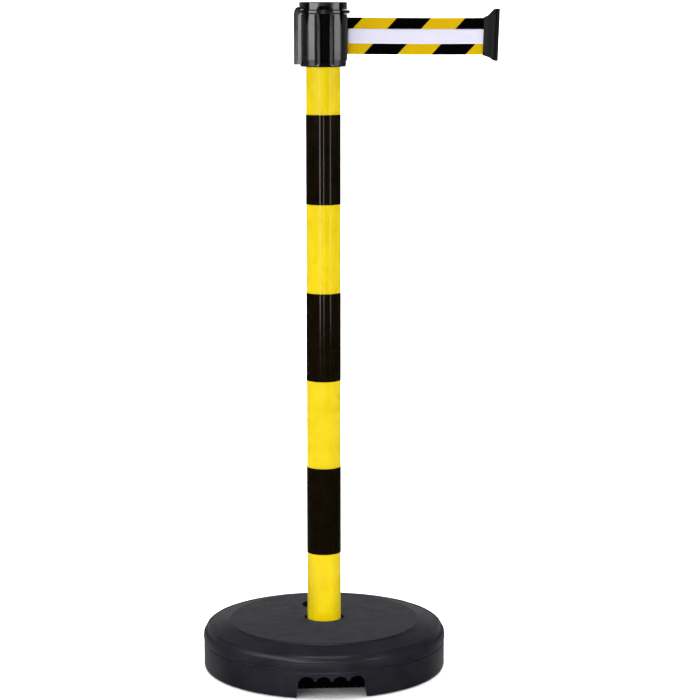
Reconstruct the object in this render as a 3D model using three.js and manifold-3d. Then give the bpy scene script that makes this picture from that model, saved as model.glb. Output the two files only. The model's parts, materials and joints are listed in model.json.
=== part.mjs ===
// Retractable belt stanchion: a striped post that stands in a fillable round base, with a belt
// cassette on top. Millimetres, +Z up, origin on the floor under the post's axis. The belt leaves
// the head toward +X and the base's hand grip faces -Y.
import * as THREE from 'three';
import { mergeVertices } from 'three/addons/utils/BufferGeometryUtils.js';
import Module from 'manifold-3d';

const wasm = await Module();
wasm.setup();

// ---------------------------------------------------------------- driving dimensions
const CLEAR = 0.3; // gap between pieces that touch
const HUGE = 400;

// Base shell, blow-moulded
const BASE_SIDES = 96;
const HIDDEN_SIDES = 32; // round pieces that are inside others
const BASE_OUTSIDE = [
  [0, 0], [40, 0], [42, 2], [150, 2], [152, 0], [174, 0], [176.9, 1.2], [178, 4],
  [178.3, 37.4], [177.1, 38.6], [177.1, 40], [178.6, 41.2], [179, 46], [178.5, 51.4],
  [176.7, 52.9], [176.4, 54.6], [175.5, 57.2], [173.8, 60.2], [171.6, 62.1], [170.6, 62.4],
  [169.5, 61.7], [140.4, 67.9], [139.5, 69.2], [138.2, 69.7], [30, 70.6], [0, 70.6],
];
const BASE_INSIDE = [
  [33.6, 6.5], [171, 6.5], [173.6, 9], [173.8, 36], [172.8, 39.5], [174.4, 45],
  [172.2, 52], [170.4, 56.2], [167.4, 58], [137, 64.4], [33.6, 66.2], [33.6, 6.5],
];
const WALL = 4.3;

// Hand grip: a notch in the front of the base with four finger scallops
const GRIP_BACK = 130.5;
const GRIP_HALF_FLOOR = 49.5;
const GRIP_HALF_TOP = 47;
const GRIP_SHOULDER = 26;
const FINGERS = 4;
const FINGER_PITCH = 23.5;
const FINGER_WEB = 3.4;
const FINGER_TOP = 32.8;
const GRIP_RIBS = 10;
const GRIP_RIB_PITCH = 9.2;
const GRIP_RIB_R = 1.6;

// Socket in the base, with a bayonet for the post's two lugs
const SOCKET_R = 26.1;
const SOCKET_FLOOR = 8.2;
const EAR_R = 29.3;
const EAR_WIDTH = 22;
const LOCK_GROOVE_TOP = 15.5;

// Filling neck behind the post, with its plug
const NECK_Y = 72;
const NECK_R = 29;
const NECK_SHELF = 53;
const NECK_HOLE_R = 23.5;
const NECK_SHELF_THICK = 4;

// Ballast in the base
const BALLAST_FLOOR = 7;
const BALLAST_TOP = 38.5;

// Post
const POST_SIDES = 64;
const TUBE_R = 24.75;
const TUBE_WALL = 1.5;
const TUBE_BOTTOM = 14.2;
const TUBE_TOP = 893;
const BAND_LENGTH = 128.5;
const BAND_TOPS = [813.1, 556.1, 299.1];
const BAND_R = 25.15;
const BAND_THICK = 0.25;
const LUG_R = 28.7;
const LUG_WIDTH = 14;

// Cassette head
const HEAD_BOTTOM = 881;
const HEAD_R = 34.6;
const HEAD_INNER_R = 31;
const HEAD_TOP = 955.3;
const HEAD_FLOOR = 893.4;
const HEAD_FLOOR_THICK = 3.4;
const RIM_BOTTOM = 955.6;
const RIM_TOP = 961.3;
const RIM_R = 35.7;
const RIM_BEAK_R = 38.8;
const CAP_BOTTOM = 961.6;
const CAP_TOP = 972.4;
const CAP_R = 34.3;
const FLUTE_WIDTH = 8.6;
const FLUTE_R = 32.5;
const FLUTE_POINT = 935.5;
const SPIGOT_WALL = 0.8;
const RIM_SPIGOT_BOTTOM = 953.8;
const CAP_SPIGOT_BOTTOM = 959.2;

// Receivers: slots on three sides of the head that take another stanchion's belt end
const RECEIVER_HALF = 11.45;
const RECEIVER_GAP_HALF = 7.1;
const RECEIVER_WALL = 2.2;
const RECEIVER_R = 41.5;
const RECEIVER_LIP = 2.1;
const RECEIVER_BOTTOM = 884;
const RECEIVER_STOP = 887.5;
const RECEIVER_TOP = 965.6;
const RECEIVER_SHOULDER = 956;

// Spool and its spring
const SPOOL_R = 29.6;
const DRUM_R = 14;
const DRUM_WALL = 1.5;
const SPOOL_BOTTOM = 897.3;
const SPOOL_TOP = 953.4;
const FLANGE_THICK = 0.9;
const ARBOR_R = 4;
const SPRING_TURNS = 3;
const SPRING_THICK = 0.6;
const ROLL_R = 24.6;

// Belt and its end clip
const BELT_LOW = 898.6;
const BELT_HIGH = 951;
const BELT_THICK = 0.9;
const MOUTH_X = 34.9;
const CLIP_NEAR = 230.3;
const CLIP_PIN_X = 238.4;
const LOOP_R = 2.4;
const CLIP_LEAN = 2;
const CLIP_MIDDLE = [240, 927];
const CLIP_SAG = 0.8;
const TBAR_HALF = 8.8;

// ---------------------------------------------------------------- materials
const finishes = {
  hdpe: { color: 0x26272b, roughness: 0.45, metalness: 0 },
  sand: { color: 0x8c7a5c, roughness: 0.95, metalness: 0 },
  cap: { color: 0x0b0b0c, roughness: 0.5, metalness: 0 },
  rubber: { color: 0x141414, roughness: 0.9, metalness: 0 },
  yellow: { color: 0xf7d80a, roughness: 0.3, metalness: 0 },
  film: { color: 0x0e0a06, roughness: 0.28, metalness: 0 },
  gloss: { color: 0x101214, roughness: 0.12, metalness: 0 },
  nylon: { color: 0x1c1c1e, roughness: 0.5, metalness: 0 },
  steel: { color: 0xb9bcc0, roughness: 0.35, metalness: 1 },
  spring: { color: 0x6f747c, roughness: 0.4, metalness: 1 },
  drum: { color: 0xe6e4dc, roughness: 0.5, metalness: 0 },
  webbing: { color: 0xe0b80f, roughness: 0.8, metalness: 0 },
  clip: { color: 0x232426, roughness: 0.55, metalness: 0 },
};

// ---------------------------------------------------------------- solids
// A closed three.js geometry as a manifold solid, facing out.
function solid(geometry) {
  const bare = geometry.index ? geometry.toNonIndexed() : geometry.clone();
  bare.deleteAttribute('normal');
  bare.deleteAttribute('uv');
  const merged = mergeVertices(bare, 1e-4);
  const at = merged.attributes.position.array;
  const index = merged.index.array;
  const corner = (n) => new THREE.Vector3().fromArray(at, 3 * n);
  const kept = [];
  let volume = 0;
  for (let i = 0; i < index.length; i += 3) {
    const [a, b, c] = [index[i], index[i + 1], index[i + 2]];
    if (a === b || b === c || c === a) continue;
    volume += corner(a).dot(corner(b).cross(corner(c)));
    kept.push([a, b, c]);
  }
  const faces = volume < 0 ? kept.map(([a, b, c]) => [a, c, b]) : kept;
  return new wasm.Manifold(new wasm.Mesh({
    numProp: 3,
    vertProperties: Float32Array.from(at),
    triVerts: Uint32Array.from(faces.flat()),
  }));
}

// A profile of [radius, height] turned round the vertical axis.
function turned(profile, sides = POST_SIDES) {
  const points = profile.map(([r, z]) => new THREE.Vector2(r, z));
  return solid(new THREE.LatheGeometry(points, sides).rotateX(Math.PI / 2));
}

function cylinder(r, low, high, sides = POST_SIDES) {
  return turned([[0, low], [r, low], [r, high], [0, high]], sides);
}

function ring(inner, outer, low, high, sides = POST_SIDES) {
  return turned([[inner, low], [outer, low], [outer, high], [inner, high], [inner, low]], sides);
}

function box(x0, x1, y0, y1, z0, z1) {
  const g = new THREE.BoxGeometry(x1 - x0, y1 - y0, z1 - z0);
  return solid(g.translate((x0 + x1) / 2, (y0 + y1) / 2, (z0 + z1) / 2));
}

function shapeOf(points) {
  return new THREE.Shape(points.map(([x, y]) => new THREE.Vector2(x, y)));
}

// A plan outline of [x, y] points raised from one height to another.
function raised(points, low, high) {
  const options = { depth: high - low, bevelEnabled: false };
  return solid(new THREE.ExtrudeGeometry(shapeOf(points), options).translate(0, 0, low));
}

// A front outline of [x, z] points drawn from y0 to y1.
function drawn(points, y0, y1) {
  const options = { depth: y1 - y0, bevelEnabled: false };
  const g = new THREE.ExtrudeGeometry(shapeOf(points), options);
  return solid(g.rotateX(Math.PI / 2).translate(0, y1, 0));
}

// A solid carried by a three.js matrix. A mirror turns its faces inside out, so they are reversed.
function moved(part, matrix) {
  const mesh = part.getMesh();
  const points = new THREE.BufferAttribute(Float32Array.from(mesh.vertProperties), 3);
  points.applyMatrix4(matrix);
  const faces = Uint32Array.from(mesh.triVerts);
  return new wasm.Manifold(new wasm.Mesh({
    numProp: 3,
    vertProperties: points.array,
    triVerts: matrix.determinant() < 0 ? faces.reverse() : faces,
  }));
}

function shifted(part, x, y, z) {
  return moved(part, new THREE.Matrix4().makeTranslation(x, y, z));
}

// Turned about the vertical axis.
function swung(part, degrees) {
  return moved(part, new THREE.Matrix4().makeRotationZ(THREE.MathUtils.degToRad(degrees)));
}

// A side outline of [y, z] points drawn from x0 to x1.
function drawnAcross(points, x0, x1) {
  return swung(drawn(points, -x1, -x0), 90);
}

function both(a, b) {
  return a.add(b);
}

// ---------------------------------------------------------------- base
// The opening of the hand grip seen from the front: sides that round out at the floor, and four
// round finger scallops.
function gripOutline() {
  const side = [
    [GRIP_HALF_TOP, GRIP_SHOULDER], [GRIP_HALF_FLOOR - 0.3, 4], [GRIP_HALF_FLOOR + 0.4, 1.8],
    [GRIP_HALF_FLOOR + 1.6, 0.6], [GRIP_HALF_FLOOR + 3.4, 0], [GRIP_HALF_FLOOR + 3.4, -1],
  ];
  const points = side.map(([x, z]) => [-x, z]).reverse();
  const half = (FINGER_PITCH - FINGER_WEB) / 2;
  for (let f = 0; f < FINGERS; f += 1) {
    const middle = (f - (FINGERS - 1) / 2) * FINGER_PITCH;
    for (let step = 0; step <= 8; step += 1) {
      const angle = Math.PI * (1 - step / 8);
      const rise = (FINGER_TOP - GRIP_SHOULDER) * Math.sin(angle);
      points.push([middle + half * Math.cos(angle), GRIP_SHOULDER + rise]);
    }
  }
  points.push(...side);
  return points;
}

// The back wall of the grip seen from above: half-round ribs that stand forward from it.
function gripPlan() {
  const points = [[-60, -190], [-60, -GRIP_BACK]];
  for (let rib = 0; rib < GRIP_RIBS; rib += 1) {
    const middle = (rib - (GRIP_RIBS - 1) / 2) * GRIP_RIB_PITCH;
    for (let step = 0; step <= 4; step += 1) {
      const angle = Math.PI * (1 - step / 4);
      const forward = GRIP_RIB_R * Math.sin(angle);
      points.push([middle + GRIP_RIB_R * Math.cos(angle), -GRIP_BACK - forward]);
    }
  }
  points.push([60, -GRIP_BACK], [60, -190]);
  return points.reverse();
}

function grip() {
  const front = drawn(gripOutline(), -190, -GRIP_BACK + 1);
  return front.intersect(raised(gripPlan(), -2, GRIP_SHOULDER + 20));
}

// The well that takes the post's foot. Two ears let its lugs down, and at the bottom each lug
// turns through a quarter groove with a wall at its end.
function socketWell() {
  const top = 80;
  const well = cylinder(SOCKET_R, SOCKET_FLOOR, top);
  const ears = cylinder(EAR_R, SOCKET_FLOOR, top)
    .intersect(box(-HUGE, HUGE, -EAR_WIDTH / 2, EAR_WIDTH / 2, 0, top));
  const side = LUG_WIDTH / 2 + 0.5;
  const sweeps = box(-side, HUGE, -HUGE, 0, 0, top).add(box(-HUGE, side, 0, HUGE, 0, top));
  const groove = cylinder(EAR_R, SOCKET_FLOOR, LOCK_GROOVE_TOP).intersect(sweeps);
  return well.add(ears).add(groove);
}

function neckWell() {
  const recess = cylinder(NECK_R, NECK_SHELF, 80, 48);
  const hole = cylinder(NECK_HOLE_R, NECK_SHELF - 10, 80, 48);
  return shifted(recess.add(hole), 0, NECK_Y, 0);
}

function neckWall() {
  const low = NECK_SHELF - NECK_SHELF_THICK;
  return shifted(cylinder(NECK_R + WALL, low, 80, 48), 0, NECK_Y, 0);
}

function baseShell() {
  const cavity = turned(BASE_INSIDE, HIDDEN_SIDES)
    .subtract(box(-54, 54, -190, -GRIP_BACK + 5, 0, 39.5))
    .subtract(neckWall());
  return turned(BASE_OUTSIDE, BASE_SIDES)
    .subtract(cavity)
    .subtract(grip())
    .subtract(socketWell())
    .subtract(neckWell());
}

// The filling lies level in the lower part of the shell, clear of the grip's walls.
function ballast() {
  return ring(34.4, 170.8, BALLAST_FLOOR, BALLAST_TOP, HIDDEN_SIDES)
    .subtract(box(-56, 56, -190, -GRIP_BACK + 7, 0, 60));
}

// A push-in bung: a spigot through the shelf, a head in the recess and a bar to pull it by.
function fillPlug() {
  const seat = NECK_SHELF + 2;
  const head = turned([
    [0, 44], [NECK_HOLE_R - 2.2, 44], [NECK_HOLE_R - 0.6, 47], [NECK_HOLE_R - 0.6, seat],
    [NECK_R - 0.6, seat], [NECK_R - 0.6, 61], [NECK_R - 1.6, 62],
    [NECK_R - 4.5, 62], [NECK_R - 5.5, 57.5], [0, 57.5],
  ], 48);
  const reach = NECK_R - 4.5;
  const bar = box(-reach, reach, -2.2, 2.2, 57, 62.4);
  return shifted(both(head, bar), 0, NECK_Y, 0);
}

function plugSeal() {
  const low = NECK_SHELF + 0.2;
  const seal = ring(NECK_HOLE_R - 0.3, NECK_R - 0.9, low, NECK_SHELF + 1.8, HIDDEN_SIDES);
  return shifted(seal, 0, NECK_Y, 0);
}

// ---------------------------------------------------------------- post
function postTube() {
  return ring(TUBE_R - TUBE_WALL, TUBE_R, TUBE_BOTTOM, TUBE_TOP);
}

function band(top) {
  return ring(BAND_R - BAND_THICK, BAND_R, top - BAND_LENGTH, top);
}

// The plug in the foot of the tube, with a rim under the tube and two lugs that lock in the base.
function postFoot() {
  const plug = TUBE_R - TUBE_WALL - CLEAR;
  const body = turned([
    [0, 9], [TUBE_R, 9], [TUBE_R, TUBE_BOTTOM - CLEAR], [plug, TUBE_BOTTOM - CLEAR],
    [plug, 56], [plug - 2, 58], [16, 58], [16, 20], [0, 20],
  ], HIDDEN_SIDES);
  const lugs = cylinder(LUG_R, 9.3, 13.7)
    .intersect(box(-LUG_WIDTH / 2, LUG_WIDTH / 2, -HUGE, HUGE, 0, 20));
  return both(body, lugs);
}

// ---------------------------------------------------------------- head
// A box on each of the four diagonals, cut away to make the head's tapering flutes.
function onDiagonals(cutter) {
  let all = swung(cutter, 45);
  for (const turn of [135, 225, 315]) {
    all = all.add(swung(cutter, turn));
  }
  return all;
}

function fluteTaper() {
  const half = FLUTE_WIDTH / 2;
  const outline = [[-half, HEAD_TOP + 1], [0, FLUTE_POINT], [half, HEAD_TOP + 1]];
  return onDiagonals(drawnAcross(outline.reverse(), FLUTE_R - 0.4, 60));
}

function fluteStraight() {
  const half = FLUTE_WIDTH / 2;
  return onDiagonals(box(FLUTE_R, 60, -half, half, RIM_BOTTOM - 1, CAP_TOP + 1));
}

function headBody() {
  const shell = turned([
    [25.7, HEAD_BOTTOM + 1], [26.7, HEAD_BOTTOM], [31.3, HEAD_BOTTOM], [32.9, HEAD_BOTTOM + 1.6],
    [33.1, 889.2], [HEAD_R - 0.4, 889.6], [HEAD_R, 890.4], [HEAD_R, HEAD_TOP],
    [HEAD_INNER_R, HEAD_TOP], [HEAD_INNER_R, HEAD_FLOOR + HEAD_FLOOR_THICK],
    [ARBOR_R + CLEAR, HEAD_FLOOR + HEAD_FLOOR_THICK], [ARBOR_R + CLEAR, HEAD_FLOOR],
    [25.7, HEAD_FLOOR], [25.7, HEAD_BOTTOM + 1],
  ]);
  const mouth = box(28, 60, -6.8, 6.8, 897.2, 952.6);
  return shell.subtract(mouth).subtract(fluteTaper());
}

// The frame of smooth plastic that the belt runs out through.
function beltMouth() {
  const block = box(31.4, 40, -6.5, 6.5, 897.5, 952.3);
  const slot = box(20, 60, -1.3, 1.3, 898.1, 951.7);
  const curve = cylinder(MOUTH_X, 880, 970);
  return block.intersect(curve).subtract(slot);
}

// One unit of what repeats on three sides of the head, turned to face -X, -Y and +Y.
function receiverSides() {
  return [['left', 180], ['front', 270], ['back', 90]];
}

// The lid of the cassette: a web that steadies the arbor, a spigot that centres it in the head,
// a rim that shows and a beak over the belt.
function headRim() {
  const web = 3;
  const spigot = HEAD_INNER_R - CLEAR;
  const plate = turned([
    [ARBOR_R + CLEAR, RIM_BOTTOM], [spigot - SPIGOT_WALL, RIM_BOTTOM],
    [spigot - SPIGOT_WALL, RIM_SPIGOT_BOTTOM], [spigot, RIM_SPIGOT_BOTTOM],
    [spigot, RIM_BOTTOM], [RIM_R - 0.8, RIM_BOTTOM], [RIM_R, RIM_BOTTOM + 1.2],
    [RIM_R, RIM_TOP - 1.2], [RIM_R - 0.8, RIM_TOP], [28.5, RIM_TOP], [28.5, RIM_BOTTOM + web],
    [ARBOR_R + CLEAR, RIM_BOTTOM + web], [ARBOR_R + CLEAR, RIM_BOTTOM],
  ]);
  const beak = drawn([
    [33, RIM_BOTTOM + 0.1], [36, RIM_BOTTOM + 0.6], [RIM_BEAK_R, 958.2], [RIM_BEAK_R, 958.8],
    [35.6, RIM_TOP], [33, RIM_TOP],
  ].reverse(), -11, 11);
  let lid = both(plate, beak).subtract(fluteStraight());
  const half = RECEIVER_HALF + CLEAR;
  const room = box(20, 60, -half, half, 950, 965).subtract(cylinder(HEAD_R, 940, 970));
  for (const [, turn] of receiverSides()) {
    lid = lid.subtract(swung(room, turn));
  }
  return lid;
}

// The cap's wall goes on down as a spigot inside the rim.
function topCap() {
  const spigot = 28.2;
  const inside = spigot - SPIGOT_WALL;
  const cover = turned([
    [0, CAP_TOP - 2.4], [inside, CAP_TOP - 2.4], [inside, CAP_SPIGOT_BOTTOM],
    [spigot, CAP_SPIGOT_BOTTOM], [spigot, CAP_BOTTOM], [CAP_R, CAP_BOTTOM],
    [CAP_R, CAP_TOP - 1.3], [CAP_R - 0.4, CAP_TOP - 0.4], [CAP_R - 1.4, CAP_TOP], [0, CAP_TOP],
  ]);
  let cap = cover.subtract(fluteStraight());
  const width = RECEIVER_GAP_HALF + 1;
  const funnel = [[30, 950], [60, 950], [60, 971], [34, 967], [32.6, 964]];
  for (const [, turn] of receiverSides()) {
    cap = cap.subtract(swung(drawn(funnel, -width, width), turn));
  }
  return cap;
}

// Two hooked rails, flared where they meet the head and joined by the stop that the belt end
// comes to rest on.
function receiver(turn) {
  const plan = [
    [30, -RECEIVER_HALF], [RECEIVER_R - 1, -RECEIVER_HALF], [RECEIVER_R, -RECEIVER_HALF + 1],
    [RECEIVER_R, RECEIVER_HALF - 1], [RECEIVER_R - 1, RECEIVER_HALF], [30, RECEIVER_HALF],
  ];
  const inner = RECEIVER_HALF - RECEIVER_WALL;
  const slot = box(20, RECEIVER_R - RECEIVER_LIP, -inner, inner, RECEIVER_STOP, 980);
  const gap = box(30, 60, -RECEIVER_GAP_HALF, RECEIVER_GAP_HALF, RECEIVER_STOP, 980);
  const flare = drawnAcross([
    [-RECEIVER_GAP_HALF, 947], [RECEIVER_GAP_HALF, 947], [inner, 958], [-inner, 958],
  ], RECEIVER_R - RECEIVER_LIP - 0.5, 60);
  const top = [
    [RECEIVER_R + 1, RECEIVER_SHOULDER - 2], [RECEIVER_R + 1, 990], [20, 990],
    [20, RECEIVER_TOP], [36.4, RECEIVER_TOP], [38.8, RECEIVER_TOP - 1.6],
    [40.6, RECEIVER_TOP - 4.6], [RECEIVER_R, RECEIVER_SHOULDER],
  ];
  const shoulder = 5.5;
  const corner = [
    [RECEIVER_HALF - shoulder, 975], [RECEIVER_HALF + 1, RECEIVER_TOP - 1 - shoulder],
    [RECEIVER_HALF + 1, 990], [0, 990],
  ];
  const corners = drawnAcross(corner, 20, 60);
  const root = [
    [30, -14.6], [32.4, -14], [34, -12.7], [35.5, -11.9], [37.4, -RECEIVER_HALF],
    [37.4, RECEIVER_HALF], [35.5, 11.9], [34, 12.7], [32.4, 14], [30, 14.6],
  ];
  const rails = raised(plan, RECEIVER_BOTTOM, 970)
    .add(raised(root, RECEIVER_BOTTOM, HEAD_TOP - CLEAR))
    .subtract(slot)
    .subtract(gap)
    .subtract(flare)
    .subtract(drawn(top, -20, 20))
    .subtract(corners)
    .subtract(moved(corners, new THREE.Matrix4().makeScale(1, -1, 1)))
    .subtract(cylinder(HEAD_R + CLEAR, 870, HEAD_TOP + 20));
  return swung(rails, turn);
}

// A moulded plug that carries the head in the top of the tube.
function headPlug() {
  const r = TUBE_R - TUBE_WALL - CLEAR;
  return turned([
    [ARBOR_R + CLEAR, 853], [r - 2, 853], [r, 855], [r, TUBE_TOP], [ARBOR_R + CLEAR, TUBE_TOP],
    [ARBOR_R + CLEAR, 853],
  ], HIDDEN_SIDES);
}

function arbor() {
  return turned([
    [0, 843], [ARBOR_R - 0.6, 843], [ARBOR_R, 844], [ARBOR_R, 965.4],
    [ARBOR_R - 0.6, 966.2], [0, 966.2],
  ], 16);
}

function hexNut(low, high) {
  return cylinder(7.4, low, high, 6).subtract(cylinder(ARBOR_R + CLEAR, low - 1, high + 1, 16));
}

// ---------------------------------------------------------------- spool
function spoolDrum() {
  const bore = ARBOR_R + 0.35;
  const hub = SPOOL_BOTTOM + 3;
  const low = SPOOL_BOTTOM + FLANGE_THICK;
  const high = SPOOL_TOP - FLANGE_THICK;
  return turned([
    [bore, SPOOL_BOTTOM], [SPOOL_R, SPOOL_BOTTOM], [SPOOL_R, low], [DRUM_R, low],
    [DRUM_R, high], [SPOOL_R, high], [SPOOL_R, SPOOL_TOP], [DRUM_R - DRUM_WALL, SPOOL_TOP],
    [DRUM_R - DRUM_WALL, hub], [bore, hub], [bore, SPOOL_BOTTOM],
  ], HIDDEN_SIDES);
}

function springCover() {
  return ring(ARBOR_R + 0.35, DRUM_R - DRUM_WALL - CLEAR, 950.4, SPOOL_TOP,
    HIDDEN_SIDES);
}

// A flat steel strip coiled from the arbor out to the drum.
function powerSpring() {
  const steps = SPRING_TURNS * 20;
  const inner = 5;
  const outer = DRUM_R - DRUM_WALL - 1;
  const at = (n, offset) => {
    const angle = (2 * Math.PI * SPRING_TURNS * n) / steps;
    const r = inner + ((outer - inner) * n) / steps + offset;
    return [r * Math.cos(angle), r * Math.sin(angle)];
  };
  const points = [];
  for (let n = 0; n <= steps; n += 1) {
    points.push(at(n, SPRING_THICK / 2));
  }
  for (let n = steps; n >= 0; n -= 1) {
    points.push(at(n, -SPRING_THICK / 2));
  }
  return raised(points, SPOOL_BOTTOM + 6, 948);
}

function beltRoll() {
  return ring(DRUM_R + CLEAR, ROLL_R, BELT_LOW, BELT_HIGH, HIDDEN_SIDES);
}

// ---------------------------------------------------------------- belt
// The limp belt lets the clip sag a little and lean outward at the top.
function leaned(part) {
  const [x, z] = CLIP_MIDDLE;
  const lean = new THREE.Matrix4().makeRotationY(THREE.MathUtils.degToRad(CLIP_LEAN));
  const down = new THREE.Matrix4().makeTranslation(x, 0, z - CLIP_SAG);
  return moved(shifted(part, -x, 0, -z), down.multiply(lean));
}

function leanedPoint(x, z) {
  const angle = THREE.MathUtils.degToRad(CLIP_LEAN);
  const [u, v] = [x - CLIP_MIDDLE[0], z - CLIP_MIDDLE[1]];
  return [
    CLIP_MIDDLE[0] + u * Math.cos(angle) + v * Math.sin(angle),
    CLIP_MIDDLE[1] - u * Math.sin(angle) + v * Math.cos(angle) - CLIP_SAG,
  ];
}

// The run of belt from the mouth to the clip, ending in a loop round the clip's pin.
function beltStrip() {
  const end = CLIP_PIN_X - LOOP_R;
  const run = drawn([
    [MOUTH_X - 3, BELT_LOW], leanedPoint(end, BELT_LOW), leanedPoint(end, BELT_HIGH),
    [MOUTH_X - 3, BELT_HIGH],
  ], -BELT_THICK / 2, BELT_THICK / 2);
  const loop = ring(LOOP_R, LOOP_R + BELT_THICK, BELT_LOW, BELT_HIGH, 24);
  return both(run, leaned(shifted(loop, CLIP_PIN_X, 0, 0)));
}

// The clip seen from the front: straight at the belt, flaring out to the T-bar's full height.
function clipOutline() {
  return [
    [CLIP_NEAR, 897.2], [234.8, 896.2], [240.2, 894.4], [245.6, 890.8], [248.2, 889.9],
    [251.3, 890], [251.7, 891], [251.7, 963.4], [251.2, 964.4], [247.8, 964.6], [244.8, 963.8],
    [240, 958.9], [235.6, 954], [CLIP_NEAR, 952.2],
  ];
}

// The clip seen from above: it thickens from the belt to a neck and ends in the T-bar.
function clipPlan() {
  const side = [
    [CLIP_NEAR, 2.6], [CLIP_NEAR + 1, 3.2], [236, 4.8], [241.5, 5.2], [244.6, 7.6], [245.8, 7.6],
    [246.2, 5.6], [248.3, 5.6], [248.6, TBAR_HALF], [251.2, TBAR_HALF], [251.7, TBAR_HALF - 0.5],
  ];
  const far = side.map(([x, y]) => [x, -y]);
  return [...far, ...side.reverse()];
}

function clipWhole() {
  const outside = drawn(clipOutline(), -20, 20).intersect(raised(clipPlan(), 880, 980));
  const slot = box(200, CLIP_PIN_X, -0.8, 0.8, BELT_LOW - 0.6, BELT_HIGH + 0.6);
  const loopRoom = cylinder(3.75, BELT_LOW - 0.6, BELT_HIGH + 0.6, 24);
  return outside.subtract(slot).subtract(shifted(loopRoom, CLIP_PIN_X, 0, 0));
}

function coverRegion(gap) {
  return box(200, 243.2 - gap, gap, 20, 870, 990);
}

function clipBody() {
  return leaned(clipWhole().subtract(coverRegion(0)));
}

function clipCover() {
  return leaned(clipWhole().intersect(coverRegion(CLEAR)));
}

function clipPin() {
  return leaned(shifted(cylinder(2, BELT_LOW + 0.4, BELT_HIGH - 0.4, 24), CLIP_PIN_X, 0, 0));
}

// ---------------------------------------------------------------- assembly
const group = new THREE.Group();
group.name = 'belt_stanchion';

function place(name, finish, part) {
  const made = part.getMesh();
  const geometry = new THREE.BufferGeometry();
  const points = new THREE.BufferAttribute(Float32Array.from(made.vertProperties), 3);
  geometry.setAttribute('position', points);
  geometry.setIndex(new THREE.BufferAttribute(Uint32Array.from(made.triVerts), 1));
  const loose = geometry.toNonIndexed();
  loose.computeVertexNormals();
  const mesh = new THREE.Mesh(loose, new THREE.MeshStandardMaterial(finishes[finish]));
  mesh.name = name;
  group.add(mesh);
}

place('base_shell', 'hdpe', baseShell());
place('base_ballast', 'sand', ballast());
place('fill_plug', 'cap', fillPlug());
place('plug_seal', 'rubber', plugSeal());

place('post_tube', 'yellow', postTube());
BAND_TOPS.forEach((top, n) => place(`band_${n + 1}`, 'film', band(top)));
place('post_foot', 'nylon', postFoot());

place('head_plug', 'nylon', headPlug());
place('head_body', 'gloss', headBody());
place('head_rim', 'gloss', headRim());
place('top_cap', 'gloss', topCap());
for (const [side, turn] of receiverSides()) {
  place(`receiver_${side}`, 'gloss', receiver(turn));
}
place('belt_mouth', 'gloss', beltMouth());
place('arbor', 'steel', arbor());
place('arbor_nut_top', 'steel', hexNut(958.9, 965));
place('arbor_nut_bottom', 'steel', hexNut(846.4, 852.7));

place('spool_drum', 'drum', spoolDrum());
place('spring_cover', 'drum', springCover());
place('power_spring', 'spring', powerSpring());
place('belt_roll', 'webbing', beltRoll());

place('belt_strip', 'webbing', beltStrip());
place('clip_body', 'clip', clipBody());
place('clip_cover', 'clip', clipCover());
place('clip_pin', 'steel', clipPin());

export default group;
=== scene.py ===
"""Looks for the retractable belt stanchion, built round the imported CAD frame.

Metres, in the CAD's own frame: +Z up, the belt leaves toward +X, the hand grip faces -Y.
"""
import json
import math

import bmesh
import bpy
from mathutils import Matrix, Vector


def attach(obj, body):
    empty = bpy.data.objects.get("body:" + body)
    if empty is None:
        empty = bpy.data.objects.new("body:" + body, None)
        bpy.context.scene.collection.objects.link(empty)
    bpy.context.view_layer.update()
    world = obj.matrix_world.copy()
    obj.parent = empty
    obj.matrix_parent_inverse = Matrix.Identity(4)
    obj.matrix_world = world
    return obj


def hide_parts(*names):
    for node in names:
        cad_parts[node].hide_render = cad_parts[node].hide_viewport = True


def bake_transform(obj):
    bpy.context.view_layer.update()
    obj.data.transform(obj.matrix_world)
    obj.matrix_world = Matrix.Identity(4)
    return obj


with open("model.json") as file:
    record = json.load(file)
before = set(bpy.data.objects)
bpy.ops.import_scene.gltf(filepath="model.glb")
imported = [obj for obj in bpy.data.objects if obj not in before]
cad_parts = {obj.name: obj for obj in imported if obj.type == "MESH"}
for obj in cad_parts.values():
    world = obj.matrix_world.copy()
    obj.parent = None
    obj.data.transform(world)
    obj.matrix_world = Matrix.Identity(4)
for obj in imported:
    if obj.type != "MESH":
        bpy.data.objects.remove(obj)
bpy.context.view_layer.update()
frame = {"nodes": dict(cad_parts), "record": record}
NODES = frame["nodes"]

# ---------------------------------------------------------------- sizes
# Belt between the mouth and the clip
BELT_LOW, BELT_HIGH = 0.8986, 0.9510
BELT_THICK = 0.00055
BELT_END_X = 0.2372
BELT_COLUMNS, BELT_ROWS = 180, 44
SELVEDGE_WIDTH, SELVEDGE_SWELL = 0.0011, 1.45
RIM_WIDTH = 0.0004
FREE_FROM_X = 0.036
CLIP_EDGE_X = 0.2303
CLIP_MIDDLE_Z = 0.927
CLIP_LEAN = math.radians(2)
CLIP_SAG = 0.0008

# Print, tape and stitches on the belt
STRIPE_PERIOD = 0.0986
STRIPE_SLANT = 0.94
STRIPE_SHIFT = 0.0573
WARP_PITCH, WEFT_PITCH = 0.00085, 0.0011
TAPE_START_X = 0.0352
TAPE_MIDDLE_Z = 0.92455
TAPE_HALF = 0.01045
TAPE_THICK = 0.00014
TAPE_ROWS = 12
STITCH_PITCH = 0.0030
STITCH_LONG = 0.0023
STITCH_INSET = 0.0012
STITCH_END_GAP = 0.0010
STITCH_SHAPE = ((0.0, 0.25), (0.2, 0.85), (0.5, 1.0), (0.8, 0.85), (1.0, 0.25))
THREAD_R = 0.00019
THREAD_LIFT = 0.00016
THREAD_SIDES = 6

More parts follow.
